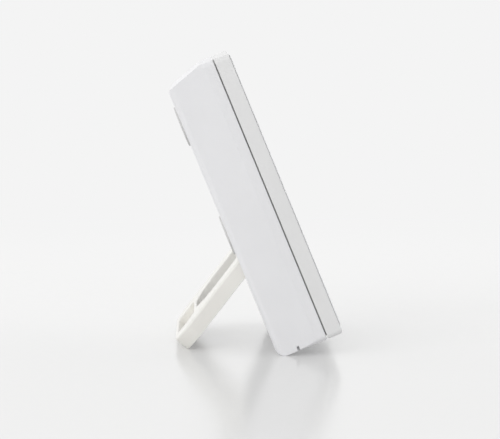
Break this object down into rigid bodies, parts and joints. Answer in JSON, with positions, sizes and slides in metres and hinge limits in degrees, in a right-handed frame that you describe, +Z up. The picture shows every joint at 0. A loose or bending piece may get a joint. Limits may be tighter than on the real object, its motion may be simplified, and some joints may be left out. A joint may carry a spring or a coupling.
{
  "type": "wall thermostat",
  "caption": "Slim white portable room thermostat with a display and press keys on its front, leaning back on a fold-out rear leg, with a keyhole for hanging on a wall.",
  "frame": {"origin": "centre of the bounding box on the floor that the case's heel and the leg's foot stand on", "axes": "+Z up from the floor, -Y towards the side that the display faces, +X to the right as seen from the front"},
  "size_m": [0.096, 0.0662, 0.1159],
  "materials": {
    "white_shell": "fine satin white moulding",
    "leg_plastic": "satin warm white moulding",
    "window_plastic": "clear acrylic with a white printed border",
    "key_plastic": "satin white key cap",
    "lcd_glass": "grey-green polariser",
    "white_plastic": "white natural plastic",
    "clear_guide": "frosted clear acrylic",
    "dark_rubber": "black conductive rubber",
    "grey_rubber": "soft grey rubber",
    "board_laminate": "green solder mask",
    "black_plastic": "black epoxy",
    "tin_plate": "tinned steel",
    "steel": "zinc plated steel",
    "spring_metal": "nickel plated spring strip",
    "cell_jacket": "printed film over steel"
  },
  "bodies": {
    "case": {"front_case": "white_shell", "rear_case": "white_shell", "display_lens": "window_plastic", "lcd_panel": "lcd_glass", "lcd_frame": "white_plastic", "light_guide": "clear_guide", "zebra_strips": "dark_rubber", "main_board": "board_laminate", "controller_chip": "black_plastic", "radio_module": "tin_plate", "antenna": "steel", "quartz_crystal": "tin_plate", "capacitors": "tin_plate", "temperature_sensor": "black_plastic", "key_switches": "black_plastic", "board_screws": "steel", "case_screws": "steel", "positive_contact": "spring_metal", "negative_contact": "spring_metal", "bridge_contact": "spring_metal", "battery_lower": "cell_jacket", "battery_upper": "cell_jacket", "rear_pads_lower": "grey_rubber", "rear_pads_upper": "grey_rubber"},
    "leg": {"stand_leg": "leg_plastic"},
    "battery_door": {"battery_cover": "white_shell"},
    "key_minus": {"button_minus": "key_plastic", "plunger_minus": "black_plastic"},
    "key_set": {"button_set": "key_plastic", "plunger_set": "black_plastic"},
    "key_plus": {"button_plus": "key_plastic", "plunger_plus": "black_plastic"}
  },
  "joints": [
    {"name": "leg_hinge", "type": "hinge", "parent": "case", "child": "leg", "pos_m": [0, 0.00459, 0.03571], "axis": [-1, 0, 0], "range_deg": [0, 60]},
    {"name": "battery_door_hinge", "type": "hinge", "parent": "case", "child": "battery_door", "pos_m": [0, 0.01311, 0.05458], "axis": [-1, 0, 0], "range_deg": [0, 60]},
    {"name": "key_minus_press", "type": "slide", "parent": "case", "child": "key_minus", "axis": [0, 0.9249, -0.3803], "range_m": [0, 0.0004], "stiffness_N_per_m": 400},
    {"name": "key_set_press", "type": "slide", "parent": "case", "child": "key_set", "axis": [0, 0.9249, -0.3803], "range_m": [0, 0.0004], "stiffness_N_per_m": 400},
    {"name": "key_plus_press", "type": "slide", "parent": "case", "child": "key_plus", "axis": [0, 0.9249, -0.3803], "range_m": [0, 0.0004], "stiffness_N_per_m": 400}
  ]
}
